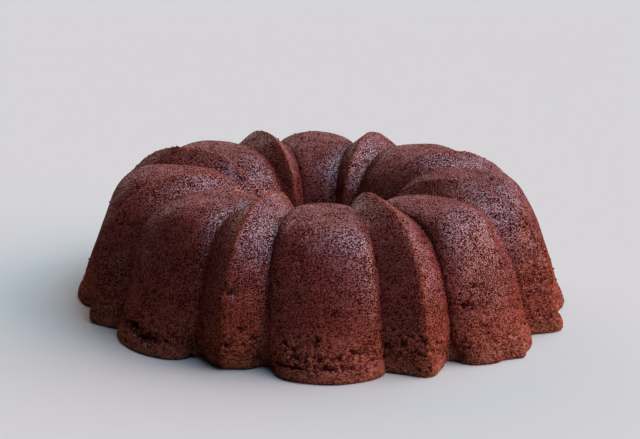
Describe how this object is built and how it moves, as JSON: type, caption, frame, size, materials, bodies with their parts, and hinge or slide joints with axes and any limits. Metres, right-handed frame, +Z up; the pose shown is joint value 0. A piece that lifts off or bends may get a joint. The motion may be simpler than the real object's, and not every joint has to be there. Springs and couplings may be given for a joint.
{
  "type": "chocolate pound cake",
  "caption": "Whole ring cake with a hole through the middle: broad round flutes take turns with narrow ridged ones, dark chocolate crust all over.",
  "frame": {"origin": "middle of the foot, on the surface that the cake stands on", "axes": "+Z up along the ring's axis, -Y towards the front flute, +X to its right"},
  "size_m": [0.2478, 0.2506, 0.0705],
  "materials": {
    "chocolate_crust": "dull, finely pitted dark chocolate crust"
  },
  "bodies": {
    "root": {"cake": "chocolate_crust"}
  },
  "joints": []
}
